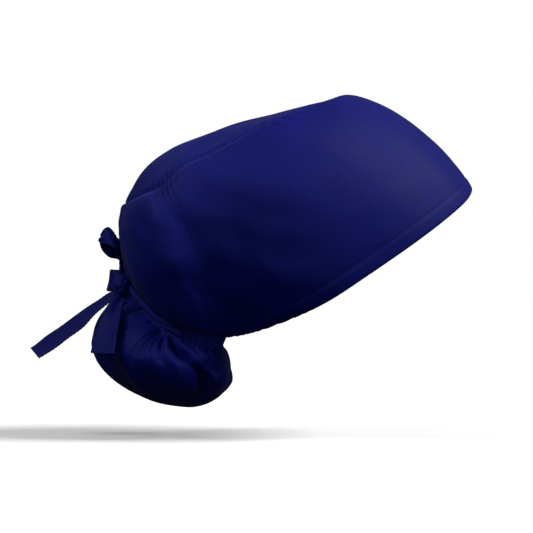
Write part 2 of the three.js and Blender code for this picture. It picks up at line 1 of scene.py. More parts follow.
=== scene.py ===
"""A navy scrub cap for long hair, as worn: crown band, top panel, stitched hem, elastic nape casing,
gathered hair pouch, and flat ties in a bow. Tables are in millimetres and the scene in metres."""
import math

import bpy
import numpy as np
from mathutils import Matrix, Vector


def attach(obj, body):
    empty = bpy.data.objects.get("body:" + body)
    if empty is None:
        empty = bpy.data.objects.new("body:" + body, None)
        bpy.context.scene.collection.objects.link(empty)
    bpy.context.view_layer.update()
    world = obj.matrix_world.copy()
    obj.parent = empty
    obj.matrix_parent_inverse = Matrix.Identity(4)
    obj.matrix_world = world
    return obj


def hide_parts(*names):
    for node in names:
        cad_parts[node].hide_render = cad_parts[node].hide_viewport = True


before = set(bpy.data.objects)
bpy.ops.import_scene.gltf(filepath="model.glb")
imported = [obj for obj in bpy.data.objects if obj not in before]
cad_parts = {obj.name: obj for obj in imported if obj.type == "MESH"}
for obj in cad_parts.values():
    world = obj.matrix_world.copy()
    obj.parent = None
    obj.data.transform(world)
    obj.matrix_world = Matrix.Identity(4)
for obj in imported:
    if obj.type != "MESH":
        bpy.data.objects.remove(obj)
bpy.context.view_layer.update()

MM = 0.001
TAU = 2 * math.pi

# ---- The cap's form, in millimetres -------------------------------------------------------------
OPENING_TILT = math.radians(31)
EDGE_HEIGHT = 8.5
BAND_LENGTH = 115
TURN_LENGTH = 44
BULGE_STEP = 0.8


def table(columns, rows):
    return dict(zip(columns.split(), np.array(rows, float).T))


# Sections from the brow round the wearer's left to the back; the right side mirrors them.
CROWN = table("rim_x rim_y rim_z seam_x seam_y bulge low high", [
    (0, -96.5, 0, 0, -46.5, 16.5, 0.8, 0.5),
    (40, -84, -4.5, 25, -37, 17, 0.85, 0.52),
    (66, -49, -9, 43, -12, 18, 0.95, 0.55),
    (76, -3, -12, 53, 20, 20, 1, 0.55),
    (68, 44, -12.5, 56, 48, 22, 0.95, 0.55),
    (40, 87, -5, 56, 71, 27, 1, 0.5),
    (42, 110, 10, 50, 92, 30, 0.65, 0.5),
    (28, 129, 41, 27, 108, 17, 0.6, 0.6),
    (0, 136, 69, 0, 115, 5, 0.6, 0.6),
])
LAST = 8
NAPE = 5.55
NAPE_MIDDLE = (104, 2.5)
HEM_END = 4.15
CORNER_PLACE = 0.58
RIDGE = table("y z fall", [
    (-52, 100.5, 0.0028),
    (-28, 108.3, 0.0028),
    (-4, 116, 0.003),
    (20, 123, 0.0041),
    (44, 127.5, 0.0048),
    (68, 130.3, 0.0053),
    (92, 127.5, 0.0062),
    (116, 113, 0.0066),
    (140, 92, 0.0066),
])
SPINE_MIDDLE = 38
SPINE_SHARE = 0.55
# Main folds of the band: where, which way they run, how big; a valley's depth is negative.
BAND_FOLDS = table("turn height slope length width depth", [
    (-4.3, 0.42, 62, 20, 9, -4.5),
    (-4.9, 0.24, 35, 30, 10, 3),
    (-5.6, 0.36, 75, 24, 13, -3),
    (-6.1, 0.85, 80, 14, 8, -2.5),
    (-7.1, 0.35, 80, 22, 8, -3),
    (4.4, 0.38, -55, 22, 10, -4),
    (5.3, 0.3, -70, 26, 9, -3.5),
    (6.2, 0.5, -80, 30, 9, -3),
    (7.2, 0.3, -80, 18, 8, -2.5),
    (8, 0.35, 90, 26, 10, -3),
])
POUCH = table("neck_x neck_y neck_z puff belly_x belly_y belly_z", [
    (0, 2, -10, -1, 0, 183, -57),
    (0, 2.5, -10.5, -1, 30, 168, -60),
    (0, 4, -11, -1.5, 51, 142, -65),
    (1, 4, -10, -1, 51, 110, -71),
    (0, 3, -7, 0, 37, 89, -77),
    (0, -4.5, -6, 0, 0, 82.5, -80),
])
POUCH_LAST = 5
MOUTH_CORNER = 4
POUCH_BOTTOM = np.array([0, 112, -100.3])
CASING_STAND_OFF = 2.7
NECK_END = 0.2
BELLY = 0.62
SQUARENESS = 1.2
# The pouch's folds, from turn at the neck (where down is top) to finish where they die out (reach).
POUCH_FOLDS = table("turn finish top reach width depth", [
    (-0.45, -0.5, 0.05, 0.9, 0.2, -4),
    (-1.15, -0.95, 0.05, 0.9, 0.2, -3),
    (-2.25, -4.0, 0.18, 0.97, 0.16, -9.5),
    (0.3, 0.25, 0.05, 0.8, 0.22, -4.5),
    (1, 0.9, 0.05, 0.95, 0.22, -5.5),
    (1.75, 1.8, 0.05, 0.8, 0.22, -5),
    (2.3, 3, 0.05, 0.97, 0.25, -7),
    (3.4, 3.5, 0.05, 0.85, 0.22, -4),
])
POUCH_CREASES = table("turn finish top reach width depth", [
    (-2.0, -1.5, 0.17, 0.85, 0.06, -1.7),
    (-2.02, -1.72, 0.17, 0.97, 0.06, -2.1),
    (-2.04, -1.95, 0.17, 0.93, 0.07, -2.2),
    (-2.06, -2.2, 0.17, 0.9, 0.06, -2.2),
    (-2.1, -2.6, 0.17, 0.8, 0.08, -3.2),
    (-2.15, -3.05, 0.17, 0.93, 0.08, 1.5),
    (-1.6, -1.2, 0.14, 0.6, 0.08, -1.1),
    (-1.3, -1.18, 0.14, 0.5, 0.08, -1.3),
    (-1.0, -0.86, 0.12, 0.8, 0.08, -1.8),
    (-0.82, -0.72, 0.12, 0.7, 0.15, 2.2),
    (-0.66, -0.56, 0.12, 0.85, 0.08, -2.2),
    (-2.9, -3.5, 0.16, 0.6, 0.08, -1.1),
    (-3.4, -3.8, 0.16, 0.7, 0.08, -1.2),
])
ODD = ("rim_x", "seam_x", "neck_x", "belly_x")


def smooth(x):
    s = np.clip(x, 0, 1)
    return s * s * (3 - 2 * s)


def curve_through(a, b, c, d, s):
    return b + 0.5 * s * (c - a + s * (2 * a - 5 * b + 4 * c - d + s * (3 * (b - c) + d - a)))


def at(rows, column, turn):
    """A column's value round the cap, whose right side mirrors its left."""
    values = rows[column]
    back = values[-2:0:-1]
    ring = np.concatenate([values, -back if column in ODD else back])
    first = np.floor(turn).astype(int)
    a, b, c, d = (ring[(first + k) % len(ring)] for k in (-1, 0, 1, 2))
    return curve_through(a, b, c, d, turn - first)


def along(values, place):
    """A value along a table with two ends."""
    last = len(values) - 1
    first = np.clip(np.floor(place).astype(int), 0, last - 1)
    a, b, c, d = (values[np.clip(first + k, 0, last)] for k in (-1, 0, 1, 2))
    return curve_through(a, b, c, d, place - first)


def worn(points):
    """From the cap's own frame, square to the head opening, to the frame of the scene."""
    x, y, z = np.moveaxis(points, -1, 0)
    c, s = math.cos(OPENING_TILT), math.sin(OPENING_TILT)
    return np.stack([x, y * c + z * s, z * c - y * s], -1)


def unit(v):
    return v / np.maximum(np.linalg.norm(v, axis=-1, keepdims=True), 1e-9)


def top_height(x, y):
    place = (y - RIDGE["y"][0]) / 24
    return along(RIDGE["z"], place) - along(RIDGE["fall"], place) * x * x


def rim(turn):
    return np.stack([at(CROWN, c, turn) for c in ("rim_x", "rim_y", "rim_z")], -1)


def seam(turn):
    x, y = at(CROWN, "seam_x", turn), at(CROWN, "seam_y", turn)
    return np.stack([x, y, top_height(x, y)], -1)


def wrapped(difference, period):
    return (difference + period / 2) % period - period / 2


def band_form(turn, height):
    """The band's outside, from the rim (height 0) to the top panel's seam (height 1)."""
    start = rim(turn)
    chord = seam(turn) - start
    onward = rim(turn + BULGE_STEP) - rim(turn - BULGE_STEP)
    onward = onward + seam(turn + BULGE_STEP) - seam(turn - BULGE_STEP)
    out = unit(np.cross(onward, chord))
    low, high = at(CROWN, "low", turn), at(CROWN, "high", turn)
    peak = low / (low + high)
    share = np.clip(height, 0, 1)
    shape = share**low * (1 - share) ** high / (peak**low * (1 - peak) ** high)
    stand = at(CROWN, "bulge", turn) * shape + band_folds(turn, height)
    return worn(start + chord * height[..., None] + out * stand[..., None])


def band_folds(turn, height):
    total = np.zeros(np.broadcast(turn, height).shape)
    for at_turn, at_height, slope, length, width, depth in zip(*BAND_FOLDS.values()):
        across = wrapped(turn - at_turn, 2 * LAST) * TURN_LENGTH
        up = (height - at_height) * BAND_LENGTH
        c, s = math.cos(math.radians(slope)), math.sin(math.radians(slope))
        lengthways, sideways = (across * c + up * s) / length, (up * c - across * s) / width
        total += depth * np.exp(-(lengthways**2) - sideways**2)
    return 0.6 * total * np.clip(height * 12, 0, 1) * np.clip((1 - height) * 12, 0, 1)


def casing_edge(place):
    """The head opening's edge from one end of the hem (-1) across the nape to the other (1)."""
    side = np.sign(place)
    beyond = (np.abs(place) - CORNER_PLACE) / (1 - CORNER_PLACE)
    beside = rim(side * (NAPE - (NAPE - HEM_END) * np.maximum(beyond, 0)))
    corner = rim(np.full(place.shape, float(NAPE)))
    share = np.clip(place / CORNER_PLACE, -1, 1)
    x, y, z = np.moveaxis(corner, -1, 0)
    flat = (share**2, 1 - share**2)
    middle_y, middle_z = NAPE_MIDDLE[0] * flat[1], NAPE_MIDDLE[1] * flat[1]
    across = np.stack([x * share, middle_y + y * flat[0], middle_z + z * flat[0]], -1)
    return np.where((beyond > 0)[..., None], beside, across)


def normals(surface, u, v, du, dv, v_low=0.0, v_high=1.0):
    """The unit normal of a surface at the given places, from small steps each way."""
    low, high = np.maximum(v - dv, v_low), np.minimum(v + dv, v_high)
    return unit(np.cross(surface(u + du, v) - surface(u - du, v), surface(u, high) - surface(u, low)))


def casing_point(place, up, out):
    step = 0.12
    onward = casing_edge(np.minimum(place + step, 1)) - casing_edge(np.maximum(place - step, -1))
    outward = worn(unit(np.stack([-onward[..., 1], onward[..., 0], 0 * place], -1)))
    beyond = np.maximum(0, (np.abs(place) - CORNER_PLACE) / (1 - CORNER_PLACE))
    turn = np.where(place < 0, -1, 1) * (NAPE - (NAPE - HEM_END) * beyond)
    height = up / BAND_LENGTH
    on_band = band_form(turn, height)
    band_normal = normals(band_form, turn, height, 0.12, 0.03)
    blend = smooth(beyond * 2)[..., None]
    beside = on_band + unit(outward * (1 - blend) + band_normal * blend) * out[..., None]
    lean = on_band - worn(rim(turn))
    upright = worn(np.stack([0 * up, 0 * up, up], -1))
    share = (np.clip(place / CORNER_PLACE, -1, 1) ** 2)[..., None]
    across = worn(casing_edge(place)) + upright * (1 - share) + lean * share + outward * out[..., None]
    return np.where((beyond > 0)[..., None], beside, across)


def mouth_point(turn):
    """The line that the pouch hangs from: the crown's edge, then the foot of the casing."""
    side = np.where(turn < 0, -1, 1)
    share = np.abs(turn) / MOUTH_CORNER
    crown_turn = side * (LAST - (LAST - NAPE) * np.minimum(share, 1))
    stand = CASING_STAND_OFF * smooth((share - 0.86) / 0.14)
    zero = 0 * crown_turn
    on_crown = band_form(crown_turn, zero)
    on_crown = on_crown + normals(band_form, crown_turn, zero, 0.12, 0.03) * stand[..., None]
    across = np.clip((POUCH_LAST - np.abs(turn)) / (POUCH_LAST - MOUTH_CORNER), 0, 1)
    on_casing = casing_point(side * CORNER_PLACE * across, zero, zero + CASING_STAND_OFF)
    return np.where((share <= 1)[..., None], on_crown, on_casing)


def pouch_form(turn, down):
    """The pouch's outside, from its mouth (down 0) past the gathered neck to its lowest point (1)."""
    turn = wrapped(turn, 2 * POUCH_LAST)
    mouth = mouth_point(turn)
    neck = np.stack([at(POUCH, c, turn) for c in ("neck_x", "neck_y", "neck_z")], -1)
    belly = np.stack([at(POUCH, c, turn) for c in ("belly_x", "belly_y", "belly_z")], -1)
    share = np.minimum(down / NECK_END, 1)[..., None]
    outward = unit((belly - POUCH_BOTTOM) * (1, 1, 0))
    on_neck = mouth + neck * share + outward * (at(POUCH, "puff", turn)[..., None] * np.sin(np.pi * share))
    start = mouth + neck

    def quarter(share):
        return np.clip(share, 0, 1) * np.pi / 2

    opening = quarter((down - NECK_END) / (BELLY - NECK_END))
    out, drop = np.sin(opening) ** SQUARENESS, 1 - np.cos(opening) ** SQUARENESS
    on_shoulder = start + (belly - start) * np.stack([out, out, drop], -1)
    closing = quarter((down - BELLY) / (1 - BELLY))
    out, drop = np.maximum(np.cos(closing), 0) ** SQUARENESS, np.sin(closing) ** SQUARENESS
    mix = np.stack([out, out, 1 - drop], -1)
    on_bottom = POUCH_BOTTOM + (belly - POUCH_BOTTOM) * mix
    lower = np.where((down <= BELLY)[..., None], on_shoulder, on_bottom)
    return np.where((down <= NECK_END)[..., None], on_neck, lower)


# ---- Cloth detail -------------------------------------------------------------------------------
def ripples(u, v, wavelength, count, seed, period=None, spread=1.0, heading=0.0):
    """Random smooth waves over u and v, about 1 high: the sum of count plane waves whose headings lie
    within spread of heading, in radians. period makes them repeat along u."""
    chance = np.random.default_rng(seed)
    total = np.zeros(np.broadcast(u, v).shape)
    for _ in range(count):
        angle = heading + chance.uniform(-1, 1) * spread
        number = TAU / (wavelength * chance.uniform(0.7, 1.4))
        ku, kv = number * math.cos(angle), number * math.sin(angle)
        if period:
            ku = TAU * round(ku * period / TAU) / period
        total += np.cos(ku * u + kv * v + chance.uniform(0, TAU))
    return total / math.sqrt(count)


def gathers(place, count, seed, period):
    """Rounded lobes with sharp valleys, from -1 to 1, about count in a period, unevenly spaced."""
    uneven = ripples(place, 0 * place, period / 5, 6, seed, period, 0.1)
    uneven += 0.6 * ripples(place, 0 * place, period / 14, 6, seed + 1, period, 0.1)
    phase = np.pi * (count * place / period + 0.35 * uneven)
    return 2 * np.abs(np.sin(phase)) ** 0.75 - 1


def arc_length(points):
    steps = np.linalg.norm(np.diff(points, axis=0), axis=1)
    return np.concatenate([[0], np.cumsum(steps)])


def gathered(turn):
    """How strongly the edge below a place on the band is drawn in: by the elastic, then by the tie."""
    away = np.abs(wrapped(turn, 2 * LAST))
    return smooth((away - 3.75) / 0.6)


def band_detail(turn, height):
    """Millimetres that the cloth stands out from the band's form."""
    u, v = turn * TURN_LENGTH, height * BAND_LENGTH
    period = 2 * LAST * TURN_LENGTH
    away = np.abs(wrapped(turn, 2 * LAST))
    slack = 0.2 + 0.8 * smooth((away - 1.8) / 2.7)
    above = np.maximum(v - EDGE_HEIGHT, 0)
    from_seam = (1 - height) * BAND_LENGTH
    detail = slack * 0.7 * ripples(u, v, 70, 14, 3, period)
    creases = ripples(u, v, 32, 16, 5, period, 0.9, 1.0)
    detail += slack * smooth(v / 12) * 0.38 * np.abs(creases) ** 0.6 * np.sign(creases)
    lean = u + 0.25 * v * np.sign(turn) + 2.5 * ripples(u, v, 38, 8, 19, period)
    fine = gathers(lean, 104, 21, period) * np.exp(-above / 7)
    broad = gathers(lean + 0.1 * v, 47, 23, period) * np.exp(-above / 22) * smooth(v / 9)
    patchy = np.clip(0.75 + 0.35 * ripples(u, v, 60, 8, 27, period), 0.15, 1.4)
    neck = smooth((away - NAPE) / 0.5)
    detail += gathered(turn) * patchy * ((0.6 + 0.3 * neck) * fine + (0.8 + 0.7 * neck) * broad)
    pucker = gathers(u + 0.45 * v, 58, 31, period) * smooth(0.5 + ripples(u, 0 * u, 90, 5, 33, period, 0.1))
    detail += 0.8 * pucker * np.exp(-from_seam / 9) * (0.25 + 0.75 * smooth((away - 1) / 1.5))
    detail -= 1.4 * np.exp(-((from_seam / 2) ** 2))
    turned = (1 - smooth((v - STITCH_HEIGHT) / 1.2)) * (1 - smooth((away - NAPE + 0.1) / 0.2))
    edge_pucker = gathers(u + 0.6 * v, 176, 41, period) * np.exp(-np.abs(v - STITCH_HEIGHT) / 4)
    detail += 0.14 * edge_pucker * (1 - neck) + 0.4 * turned
    detail -= 0.55 * np.exp(-(((v - STITCH_HEIGHT - 0.3) / 0.8) ** 2)) * (1 - neck)
    return detail


def band_skin(turn, up, out=0.0):
    """A point of the band's cloth, up millimetres from its edge and out from its outer face."""
    height = up / BAND_LENGTH
    face = normals(band_form, turn, np.maximum(height, 0.002), 0.06, 0.02)
    return band_form(turn, height) + face * (band_detail(turn, height) + out)[..., None]


def top_plan(turn, inward):
    x, y = at(CROWN, "seam_x", turn), at(CROWN, "seam_y", turn)
    spine = SPINE_MIDDLE + (y - SPINE_MIDDLE) * SPINE_SHARE
    return x * (1 - inward), y + (spine - y) * inward


def top_form(turn, inward):
    x, y = top_plan(turn, inward)
    return worn(np.stack([x, y, top_height(x, y)], -1))


def top_detail(turn, inward):
    x, y = top_plan(turn, inward)
    edge_x, edge_y = top_plan(turn, 0 * inward)
    from_seam = np.hypot(x - edge_x, y - edge_y)
    u = turn * TURN_LENGTH
    period = 2 * LAST * TURN_LENGTH
    detail = 0.8 * ripples(x, y, 60, 10, 7) + 0.3 * ripples(x, y, 26, 14, 9)
    pucker = gathers(u - 0.45 * from_seam, 58, 31, period)
    detail += 0.6 * pucker * np.exp(-from_seam / 7)
    detail *= 1 - np.exp(-from_seam / 1.5) * 0.3
    return detail - 1.4 * np.exp(-((from_seam / 2) ** 2))


def folds(rows, turn, down, sharp):
    """The sum of a table's folds at each place of the pouch; sharp is lower for sharper valleys."""
    total = np.zeros(np.broadcast(turn, down).shape)
    for start, finish, top, reach, width, depth in zip(*rows.values()):
        share = np.clip((down - top) / (reach - top), 0, 1)
        across = np.abs(wrapped(turn - start - (finish - start) * share, 2 * POUCH_LAST))
        fade = smooth(share / 0.12) * (1 - smooth((share - 0.68) / 0.32))
        total += depth * fade * np.exp(-((across / (width * (0.5 + 1.1 * share))) ** sharp))
    return total


def random_creases(count, seed, low, high):
    """Small folds that run down from the neck, in the style of the table."""
    chance = np.random.default_rng(seed)
    rows = []
    for start in np.linspace(low, high, count):
        start += chance.uniform(-0.08, 0.08)
        reach = chance.uniform(0.35, 0.9)
        bend = chance.uniform(-0.35, 0.35)
        width, depth = chance.uniform(0.06, 0.11), chance.uniform(-2.2, -0.9)
        rows.append((start, start + bend, 0.14, reach, width, depth))
    return table(" ".join(POUCH_CREASES), rows)


MORE_CREASES = random_creases(26, 57, -0.4, 4.9)
NAPE_CREASES = random_creases(6, 58, -4.9, -3.6)


def pouch_detail(turn, down):
    period = 2 * POUCH_LAST
    on_neck = 1 - smooth((down - 0.14) / 0.16)
    sway = turn + 0.05 * ripples(turn, down * 4, 1.2, 8, 51, period)
    detail = on_neck * (0.55 * gathers(sway, 46, 53, period) + 0.3 * gathers(sway, 21, 55, period))
    for rows in (POUCH_CREASES, MORE_CREASES, NAPE_CREASES):
        detail += folds(rows, turn, down, 1.25)
    below = smooth((down - 0.2) / 0.25)
    detail += below * 0.9 * ripples(turn * 26, down * 120, 34, 16, 59, period * 26)
    wrinkles = ripples(turn * 26, down * 120, 17, 16, 61, period * 26)
    detail += below * 0.28 * np.abs(wrinkles) ** 0.6 * np.sign(wrinkles)
    return detail * (1 - smooth((down - 0.86) / 0.12))


# ---- Meshes -------------------------------------------------------------------------------------
def grid(count, low, high):
    return np.linspace(low, high, count + 1)


def mesh_object(name, points, faces, uvs=None):
    """An object from points in millimetres. uvs is one pair in metres for each point."""
    mesh = bpy.data.meshes.new(name)
    mesh.from_pydata((np.asarray(points).reshape(-1, 3) * MM).tolist(), [], faces)
    if uvs is not None:
        layer = mesh.uv_layers.new(name="cloth")
        corners = np.zeros(len(mesh.loops), int)
        mesh.loops.foreach_get("vertex_index", corners)
        layer.data.foreach_set("uv", np.asarray(uvs).reshape(-1, 2)[corners].ravel())
    mesh.validate()
    mesh.update()
    mesh.shade_smooth()
    made = bpy.data.objects.new(name, mesh)
    bpy.context.scene.collection.objects.link(made)
    return made


def grid_faces(rows, columns, closed):
    """Quads over a grid of points, row after row; closed joins the last row to the first."""
    r, c = np.meshgrid(np.arange(rows if closed else rows - 1), np.arange(columns - 1), indexing="ij")
    r, c = r.ravel(), c.ravel()
    onward = (r + 1) % rows
    return np.stack([r * columns + c, onward * columns + c, onward * columns + c + 1, r * columns + c + 1], 1)


def skin(name, points, uvs, closed, thickness=0.7, merge=False):
    """A sheet over a grid of points, with a thickness inwards."""
    rows, columns = points.shape[:2]
    made = mesh_object(name, points, grid_faces(rows, columns, closed).tolist(), uvs)
    if merge:
        weld = made.modifiers.new("weld", "WELD")
        weld.merge_threshold = 0.02 * MM
    thick = made.modifiers.new("cloth", "SOLIDIFY")
    thick.thickness = thickness * MM
    thick.offset = -1
    return made


def detailed(form, detail, u, v, du, dv):
    return form(u, v) + normals(form, u, v, du, dv) * detail(u, v)[..., None]


# The turned edge, from the raw edge inside, round the fold, to the outer face: (up, out).
FOLD_PROFILE = [
    (9.4, -1.9), (7.4, -1.95), (5.4, -1.95), (3.6, -1.95), (2.2, -1.9),
    (1.2, -1.8), (0.45, -1.5), (0.05, -0.95), (0.25, -0.4), (0.8, -0.1),
]


CROWN_TURNS = grid(430, -LAST, LAST)[:-1]


def to_seam(points, from_seam):
    """Draws a sheet's edge to the line that the band and the top panel share."""
    ones = np.ones(len(CROWN_TURNS))
    band_face = normals(band_form, CROWN_TURNS, (1 - SEAM_STEP) * ones, 0.06, 0.02)
    top_face = normals(top_form, CROWN_TURNS, SEAM_STEP * ones, 0.06, 0.02)
    sunk = SEAM_DEPTH * np.minimum(band_detail(CROWN_TURNS, ones), 0)[:, None]
    line = band_form(CROWN_TURNS, ones) + unit(0.5 * (band_face + top_face)) * sunk
    nearest = np.argmin(from_seam[0])
    return points + (line - points[:, nearest])[:, None] * np.exp(-from_seam / SEAM_FADE)[..., None]


def make_band():
    turns = CROWN_TURNS
    low = np.arange(1.6, 17, 0.95)
    high = BAND_LENGTH - (BAND_LENGTH - 18) * (0.5 + 0.5 * np.cos(np.pi * grid(62, 0.22, 1))) ** 1.15
    high = 18 + (high - high[0]) * (BAND_LENGTH - 18) / (high[-1] - high[0])
    outer_ups = np.concatenate([low, high])
    ups = np.concatenate([[up for up, _ in FOLD_PROFILE], outer_ups])
    outs = np.concatenate([[out for _, out in FOLD_PROFILE], 0 * outer_ups])
    u, up = np.meshgrid(turns, ups, indexing="ij")
    out = np.broadcast_to(outs, u.shape)
    points = to_seam(band_skin(u, up, out), BAND_LENGTH - up)
    strip = np.where(np.arange(len(ups)) < len(FOLD_PROFILE), -ups, ups)
    uvs = np.stack(np.broadcast_arrays(u * TURN_LENGTH, strip), -1) * MM
    return skin("crown_band", points, uvs, closed=True, thickness=0.55)


def make_top():
    turns = CROWN_TURNS
    inwards = grid(46, 0, 1) ** 1.35
    u, v = np.meshgrid(turns, inwards, indexing="ij")
    x, y = top_plan(u, v)
    points = to_seam(detailed(top_form, top_detail, u, v, 0.04, 0.012), np.hypot(x - x[:, :1], y - y[:, :1]))
    points[:, -1] = (points[:, -1] + points[::-1, -1][np.r_[-1:len(turns) - 1]]) / 2
    return skin("crown_top", points, np.stack([x, y], -1) * MM, closed=True, merge=True)


def sweep(name, rings, uvs=None, closed_ends=True):
    """A solid tube through closed rings of points, its two ends filled."""
    count, corners = rings.shape[:2]
    r, c = np.meshgrid(np.arange(count - 1), np.arange(corners), indexing="ij")
    r, c = r.ravel(), c.ravel()
    onward = (c + 1) % corners
    near, far = r * corners, (r + 1) * corners
    quads = np.stack([near + c, near + onward, far + onward, far + c], 1)
    faces = quads.tolist()
    if closed_ends:
        faces.append(list(range(corners))[::-1])
        faces.append([(count - 1) * corners + k for k in range(corners)])
    return mesh_object(name, rings, faces, uvs)


def facing_out(made):
    """Turns the mesh inside out if its volume is negative."""
    import bmesh
    work = bmesh.new()
    work.from_mesh(made.data)
    if work.calc_volume(signed=True) < 0:
        bmesh.ops.reverse_faces(work, faces=work.faces[:])
        work.to_mesh(made.data)
    work.free()
    return made


STITCH_HEIGHT = 8.2
SEAM_DEPTH = 0.8
SEAM_STEP = 0.03  # share away from the seam at which each sheet's slope is read
SEAM_FADE = 3  # mm over which a sheet leaves the seam


def make_casing():
    """The elastic casing across the nape, from corner to corner, gathered on its elastic."""
    places = grid(300, -CORNER_PLACE, CORNER_PLACE)
    half = 1.35
    bend = np.linspace(-np.pi / 2, np.pi / 2, 7)
    upper = [(EDGE_HEIGHT - half + half * math.cos(a), half * math.sin(a)) for a in bend]
    lower = [(half + half * math.cos(a), half * math.sin(a)) for a in bend + np.pi]
    outer = [(up, half) for up in np.linspace(EDGE_HEIGHT - half, half, 7)[1:-1]]
    inner = [(up, -half) for up in np.linspace(half, EDGE_HEIGHT - half, 7)[1:-1]]
    outline = np.array(upper + outer + lower + inner)
    place, k = np.meshgrid(places, np.arange(len(outline)), indexing="ij")
    up, out = outline[k, 0], outline[k, 1]
    lobes = gathers(place + 0.004 * up, 46, 81, 2.0)
    small = gathers(place - 0.006 * up, 96, 83, 2.0)
    stitch_line = np.exp(-(((up - STITCH_HEIGHT + 1) / 0.9) ** 2))
    grow = 0.7 * lobes + 0.3 * small - 0.5 * stitch_line
    out = out + np.where(out > 0, grow, 0.6 * lobes)
    up = up + 0.35 * ripples(place * 90, 0 * up, 14, 8, 85, None, 0.1)
    rings = casing_point(place, np.maximum(up, 0), out)
    uvs = np.stack([place * 120, up], -1) * MM
    return facing_out(sweep("nape_elastic", rings, uvs))


def make_pouch():
    turns = grid(560, -POUCH_LAST, POUCH_LAST)[:-1]
    downs = grid(84, -0.05, 0.985)
    u, v = np.meshgrid(turns, downs, indexing="ij")
    outward = normals(pouch_form, u, np.clip(v, 0.03, 0.97), 0.1, 0.03)
    base = pouch_form(u, v) + outward * folds(POUCH_FOLDS, u, v, 1.7)[..., None]
    face = grid_normals(base)
    points = base + face * pouch_detail(u, v)[..., None]
    points[:, -1] = points[:, -1].mean(axis=0)
    girth = 26 * (0.35 + 0.65 * np.sin(np.pi * np.clip(v, 0, 1) ** 0.8))
    uvs = np.stack([u * girth, v * 120], -1) * MM
    return skin("hair_pouch", points, uvs, closed=True, thickness=0.55, merge=True)


def grid_normals(points):
    """Unit normals of a grid of points that is closed along its first axis."""
    round_ = np.roll(points, -1, 0) - np.roll(points, 1, 0)
    return unit(np.cross(round_, np.gradient(points, axis=1)))


# ---- Ties ---------------------------------------------------------------------------------------
TIE_THICKNESS = 1.1
TIE_WIDTH = 22
LOOP_UPPER = table("x y z across_x across_y across_z width", [
    (4, 160, -11, 1, 0, 0.1, 8),
    (9, 157.8, -6, 1, 0, 0.2, 11),
    (14, 157.6, 0, 1, -0.15, 0.3, 14),
    (16, 160, 6, 0.9, -0.25, 0.5, 18),
    (12, 165.5, 10, 0.7, -0.25, 0.7, 20),
    (6, 171, 13.5, 0.6, -0.2, 0.8, 14),
    (1, 173.5, 15.5, 0.5, -0.1, 0.9, 7),
    (-2, 170.5, 17.5, 0.5, 0.1, 0.9, 12),
    (-3, 165.8, 17, 0.6, 0.2, 0.8, 17),
    (0, 162.2, 12, 0.8, 0.1, 0.5, 17),
    (5, 160.4, 5, 1, 0, 0.3, 14),
    (5, 159.8, -2, 1, 0, 0.2, 11),
    (-1, 160, -10.5, 1, 0, 0.1, 8),
])
LOOP_LOWER = table("x y z across_x across_y across_z width", [
    (8.6, 161, -15, 0.2, 0, 1, 9),
    (15, 164.5, -13, 0.1, 0, 1, 13),
    (24, 169, -12.5, 0, -0.15, 1, 15),
    (33, 168, -13, -0.1, -0.3, 1, 16),
    (37, 162.5, -13, -0.1, -0.3, 1, 16),
    (34, 158.5, -13, 0, -0.2, 1, 15),
    (25, 157.5, -13, 0.1, 0, 1, 13),
    (11, 157.5, -15, 0.2, 0, 1, 8),
])
TAIL_LONG = table("x y z across_x across_y across_z width", [
    (2, 164.5, -22, 0.9, 0.15, 0.3, 11),
    (2.5, 170, -25.8, 0.88, 0.2, 0.33, 15),
    (3, 178, -32, 0.87, 0.24, 0.36, 18),
    (5, 191, -42.7, 0.87, 0.27, 0.38, 22),
    (6, 205, -53, 0.87, 0.3, 0.37, 22),
    (7, 219.8, -63.1, 0.87, 0.38, 0.33, 22),
])
TAIL_SHORT = table("x y z across_x across_y across_z width", [
    (-8, 159, -24, 0.5, 0.6, 0.4, 9),
    (-17, 162, -30, 0.55, 0.75, 0.3, 13),
    (-28, 165.5, -40.5, 0.58, 0.78, 0.1, 18),
    (-36, 168, -52, 0.6, 0.76, 0, 21),
    (-41, 169.5, -61.5, 0.62, 0.75, 0, 22),
])


def ribbon_frame(rows, places):
    """Middle line, half-width vectors and unit normals of a ribbon at places along its table."""
    middle = np.stack([along(rows[c], places) for c in ("x", "y", "z")], -1)
    across = unit(np.stack([along(rows[c], places) for c in ("across_x", "across_y", "across_z")], -1))
    across = across * (along(rows["width"], places) / 2)[:, None]
    face = unit(np.cross(np.gradient(middle, axis=0), across))
    return middle, across, face


def ribbon_surface(rows, seed, cup, crush, steps=26):
    """A function from (-1 to 1 across, out) to points of a ribbon with a soft hand, and its run."""
    spans = len(rows["x"]) - 1
    places = np.linspace(0, spans, spans * steps + 1)
    middle, across, face = ribbon_frame(rows, places)
    run = arc_length(middle)
    pinch = 1 - along(rows["width"], places) / rows["width"].max()

    def surface(width, out):
        w, s = np.meshgrid(width, run, indexing="xy")
        pleat = np.cos(w * np.pi * 1.6 + 0.6) * pinch[:, None] * crush * 0.8
        bow = cup * (1 - w * w) * (1 - 0.6 * pinch[:, None])
        lift = bow + pleat + 0.35 * ripples(s, w * 9, 21, 8, seed, None, 0.9)
        lift = lift + np.broadcast_to(out, lift.shape)
        return middle[:, None] + across[:, None] * w[..., None] + face[:, None] * lift[..., None]

    return surface, run


